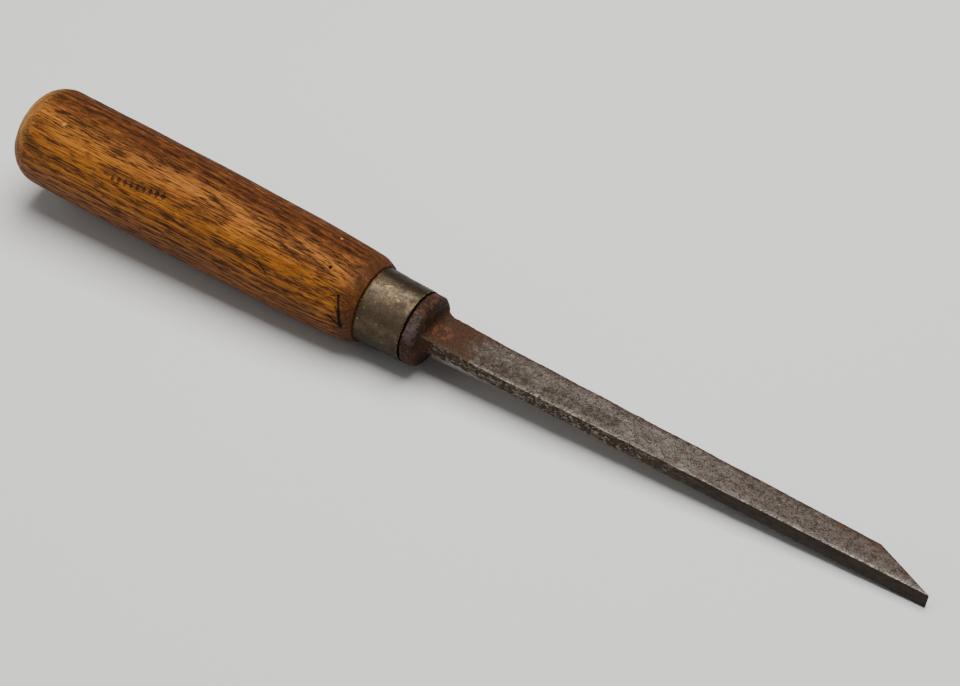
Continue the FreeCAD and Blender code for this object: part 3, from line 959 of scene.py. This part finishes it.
def rubbed_share(p):
    """Strongest on the butt's upper corner, towards the flat back."""
    return ramp_between(p.x, 9, 2) * ramp_between(p.z - 0.4 * p.y, 0, 18)


def knocked_share(p):
    """Strongest at the butt, none past 40 mm."""
    return ramp_between(p.x, 40, 6)


in_hand = weighted(handle, "in_hand", held_share)
pressed(handle, in_hand, 0.05)
worn(handle, 22.0, 0.3, where=in_hand)
pressed(handle, weighted(handle, "rubbed", rubbed_share), 0.35)
worn(handle, 3.2, 0.3, where=weighted(handle, "knocks", knocked_share))

# %% Mark the handle


def gouge_depth(p):
    """The hooked gouge near the ferrule: 1 along its stroke, less along its short arm."""
    if not GOUGE_REACH[0] < p.x < GOUGE_REACH[1] or p.y > GOUGE_SIDE:
        return 0.0
    stroke = min(from_line(p, GOUGE[0], GOUGE[1]), from_line(p, GOUGE[1], GOUGE[2]))
    arm = from_line(p, GOUGE_ARM[0], GOUGE_ARM[1])
    return max(ramp_between(stroke, 0.7, 0.15), 0.7 * ramp_between(arm, 0.6, 0.15))


def mark_depth(point):
    """How deep each point of the handle is marked, as a share of the deepest mark."""
    p = onto_drum(point)
    depth = max(share * ramp_between((p - spot).length, size, 0.1) for spot, size, share in DENTS)
    depth = max(depth, 0.4 * ramp_between(from_line(p, *SCRATCH), 0.6, 0.1))
    return max(depth, gouge_depth(p), 0.3 * diamond_depth(p))


pressed(handle, weighted(handle, "marks", mark_depth), DEEPEST_MARK)
laid_down(handle, ash_material(), "handle")

# %% [markdown]
# ## The ferrule
#
# A ferrule is a short piece of tube pressed over the tenon to stop the wood splitting. It is
# grown as an open wall, ring by ring, with the slightest waist, and given its thickness by a
# Solidify modifier. Fine lumps pressed into it leave it as uneven as hammered tube is.

# %% Form the ferrule
FERRULE_WALL = 0.9
WAIST = 0.08
WALL_STEPS = 14
back_radius = radius_at(ferrule_points, ferrule_start, ferrule_start + 1.0)
front_radius = radius_at(ferrule_points, ferrule_end - 1.0, ferrule_end)
ferrule_length = ferrule_end - ferrule_start
wall_rings = [(ferrule_start, back_radius - 0.28), (ferrule_start + 0.1, back_radius - 0.08)]
for step in range(1, WALL_STEPS):
    share = step / WALL_STEPS
    narrowing = (front_radius - back_radius) * share - WAIST * math.sin(math.pi * share)
    wall_rings.append((ferrule_start + ferrule_length * share, back_radius + narrowing))
wall_rings += [(ferrule_end - 0.12, front_radius - 0.03), (ferrule_end, front_radius - 0.2)]
ferrule = turned("brass_ferrule", wall_rings, sides=TURNED_SIDES, filled=False)
shell = ferrule.modifiers.new("wall", "SOLIDIFY")
shell.thickness = FERRULE_WALL * MM
shell.offset = -1.0
apply_all(ferrule)
rounded_surface(ferrule, 2)
worn(ferrule, 5.0, 0.2)
worn(ferrule, 1.4, 0.1)
laid_down(ferrule, brass_material(), "ferrule")

# %% [markdown]
# ## The forging
#
# The bar is drawn out from a small flat section, one section after another. The long taper and
# the bevel, where the far side runs in to meet the flat back, follow the design. The swelling
# where the bar leaves the bolster is this lesson's own, as a smith leaves it there. The bolster is
# turned as a disc with a rounded front rim, and a Boolean joins them. A voxel remesh then gives
# the whole an even skin, fine enough to hold pits.

# %% Draw out the bar


def drawn_out(name, sections):
    """A bar drawn out along the X axis through sections of (place, near, far, half thickness)."""
    start_fresh()
    place, near, far, half = sections[0]
    bpy.ops.mesh.primitive_plane_add(
        size=MM, location=(place * MM, (near + far) / 2 * MM, 0), rotation=(0, math.pi / 2, 0),
    )
    piece = made(name)
    bpy.ops.object.transform_apply(location=True, rotation=True, scale=True)
    bpy.ops.object.mode_set(mode="EDIT")
    bpy.ops.mesh.select_all(action="SELECT")
    middle = (place * MM, (near + far) / 2 * MM, 0)
    bpy.ops.transform.resize(value=(1, far - near, 2 * half), center_override=middle)
    for section in sections[1:]:
        shift = (section[1] + section[2] - near - far) / 2
        step = {"value": ((section[0] - place) * MM, shift * MM, 0)}
        bpy.ops.mesh.extrude_region_move(TRANSFORM_OT_translate=step)
        change = (1, (section[2] - section[1]) / (far - near), section[3] / half)
        place, near, far, half = section
        middle = (place * MM, (near + far) / 2 * MM, 0)
        bpy.ops.transform.resize(value=change, center_override=middle)
    bpy.ops.mesh.select_all(action="SELECT")
    bpy.ops.mesh.normals_make_consistent(inside=False)
    bpy.ops.object.mode_set(mode="OBJECT")
    return piece


# (ahead of the bolster, wider on each narrow side, thicker on each broad side), in millimetres
ROOT_FLARE = [
    (-1.0, 1.9, 2.1), (0.0, 1.5, 1.7), (0.4, 0.9, 1.15), (1.0, 0.45, 0.75),
    (1.8, 0.18, 0.52), (2.8, 0.04, 0.42), (7.0, 0.0, 0.28), (13.0, 0.0, 0.1),
]
sections = []
for ahead, wider, thicker in ROOT_FLARE:
    place = bolster_front + ahead
    near = near_line[0] + near_line[1] * place - wider
    far = far_line[0] + far_line[1] * place + wider
    sections.append((place, near, far, root[2] + thicker))
plain_x = bolster_front + 20.0
plain_near = near_line[0] + near_line[1] * plain_x
plain_far = far_line[0] + far_line[1] * plain_x
plain_half = root[2] + (heel[2] - root[2]) * (plain_x - bolster_front) / (heel_x - bolster_front)
sections += [
    (plain_x, plain_near, plain_far, plain_half),
    (heel_x, near_line[0] + near_line[1] * heel_x, heel[1], heel[2]),
    (edge_x, *edge),
]
blade = drawn_out("forged_blade", sections)
print(f"blade {edge_x - bolster_front:.1f} mm long, its bevel {edge_x - heel_x:.1f} mm")

# %% Weld on the bolster
BOLSTER_RIM = 1.2
RIM_STEPS = 8
BOLSTER_SIDES = 96
SKIN_GRAIN = 0.3
bolster_rings = [(bolster_back, bolster_radius - 0.25), (bolster_back + 0.25, bolster_radius)]
for step in range(RIM_STEPS, -1, -1):
    turn = math.radians(90 * step / RIM_STEPS)
    bolster_rings.append((
        bolster_front - BOLSTER_RIM * (1 - math.cos(turn)),
        bolster_radius - BOLSTER_RIM * (1 - math.sin(turn)),
    ))
bolster = turned("bolster", bolster_rings, sides=BOLSTER_SIDES)
joining = blade.modifiers.new("weld", "BOOLEAN")
joining.operation = "UNION"
joining.object = bolster
joining.solver = "EXACT"
skin = blade.modifiers.new("skin", "REMESH")
skin.mode = "VOXEL"
skin.voxel_size = SKIN_GRAIN * MM
apply_all(blade)
bpy.data.objects.remove(bolster)
print("remeshed:", len(blade.data.polygons), "faces")

# %% [markdown]
# The skin gets its history: hammer marks first, strongest towards the root, then rust pits, then
# coarse scale on the bolster. The ground back past the middle has few pits, so the pit pattern is
# weighted by how far a point is from it. A round dimple sits in the root.

# %% Pit the blade
DIMPLE_DEPTH = 0.55


def hammered_share(p):
    """Strongest from the bolster to 205 mm, slight from 255 mm to the edge."""
    return 0.12 + 0.6 * ramp_between(p.x, 255, 205)


def pitted_share(p):
    """Strongest from the bolster to 210 mm, and next to none on the ground back."""
    from_back = p.y - near_line[0] - near_line[1] * p.x
    ground = ramp_between(p.x, GROUND_FROM, GROUND_FULLY) * ramp_between(from_back, 0.7, 0.3)
    return (1.0 - 0.9 * ground) * (0.35 + 0.35 * ramp_between(p.x, 250, 210))


def dimple_share(p):
    """1 in the middle of the round dimple on the root's upper side, 0 outside it."""
    away = math.hypot(p.x - ROOT_DIMPLE[0], 1.3 * (p.y - ROOT_DIMPLE[1]))
    return ramp_between(away, 2.4, 0.6) if p.z > 1.0 and p.x > bolster_front + 0.8 else 0.0


def scaly_share(p):
    """1 on the bolster, fading out on the root."""
    return ramp_between(p.x, 152, 146)


worn(blade, 8.0, 0.35, where=weighted(blade, "hammered", hammered_share))
worn(blade, 1.3, 0.32, where=weighted(blade, "pits", pitted_share))
worn(blade, 2.6, 0.35, where=weighted(blade, "scale", scaly_share))
pressed(blade, weighted(blade, "dimple", dimple_share), DIMPLE_DEPTH)
laid_down(blade, steel_material(), "blade")

# %% [markdown]
# ## Table, light and camera
#
# The tool lies on a plain pale surface. One large soft light hangs above and a little behind it,
# so that soft shadows fall towards the viewer, and a weaker one fills from the left. A pale world
# lights the rest evenly.

# %% Table
TABLE_SIZE = 6.0
TABLE_COLOUR = (0.75, 0.74, 0.72, 1)
start_fresh()
bpy.ops.mesh.primitive_plane_add(size=TABLE_SIZE, location=(0, 0, 0))
floor = made("floor")
surface, tree, shader = new_material("pale_table")
put(tree, shader.inputs["Base Color"], TABLE_COLOUR)
shader.inputs["Roughness"].default_value = 0.7
floor.data.materials.append(surface)

# %% Lights
SKY_COLOUR = (0.95, 0.97, 1.0, 1)
SKY_STRENGTH = 0.12


def soft_light(name, size, power, place, aim):
    """A square area light of this side and power, placed and aimed in metres."""
    lamp = bpy.data.lights.new(name, "AREA")
    lamp.size = size
    lamp.energy = power
    holder = bpy.data.objects.new(name, lamp)
    bpy.context.scene.collection.objects.link(holder)
    holder.location = place
    holder.rotation_euler = (Vector(aim) - Vector(place)).to_track_quat("-Z", "Y").to_euler()
    return holder


soft_light("overhead", size=0.8, power=17.0, place=(0.0, 0.2, 0.95), aim=(0, 0, 0))
soft_light("left_fill", size=0.8, power=2.0, place=(-0.8, -0.5, 0.6), aim=(0, 0, 0))
world = bpy.data.worlds.new("studio")
world.use_nodes = True
sky = world.node_tree.nodes["Background"]
sky.inputs["Color"].default_value = SKY_COLOUR
sky.inputs["Strength"].default_value = SKY_STRENGTH
bpy.context.scene.world = world

# %% Camera
start_fresh()
VIEWPOINT = Vector((0.27218, -0.40410, 0.51732))
AIM = Vector((0.00061, 0.0142, 0.0))
LENS = 93.75
SENSOR = 36.0
bpy.ops.object.camera_add(location=VIEWPOINT)
camera = bpy.context.object
camera.rotation_euler = (AIM - VIEWPOINT).to_track_quat("-Z", "Y").to_euler()
camera.data.lens = LENS
camera.data.sensor_width = SENSOR
bpy.context.scene.camera = camera
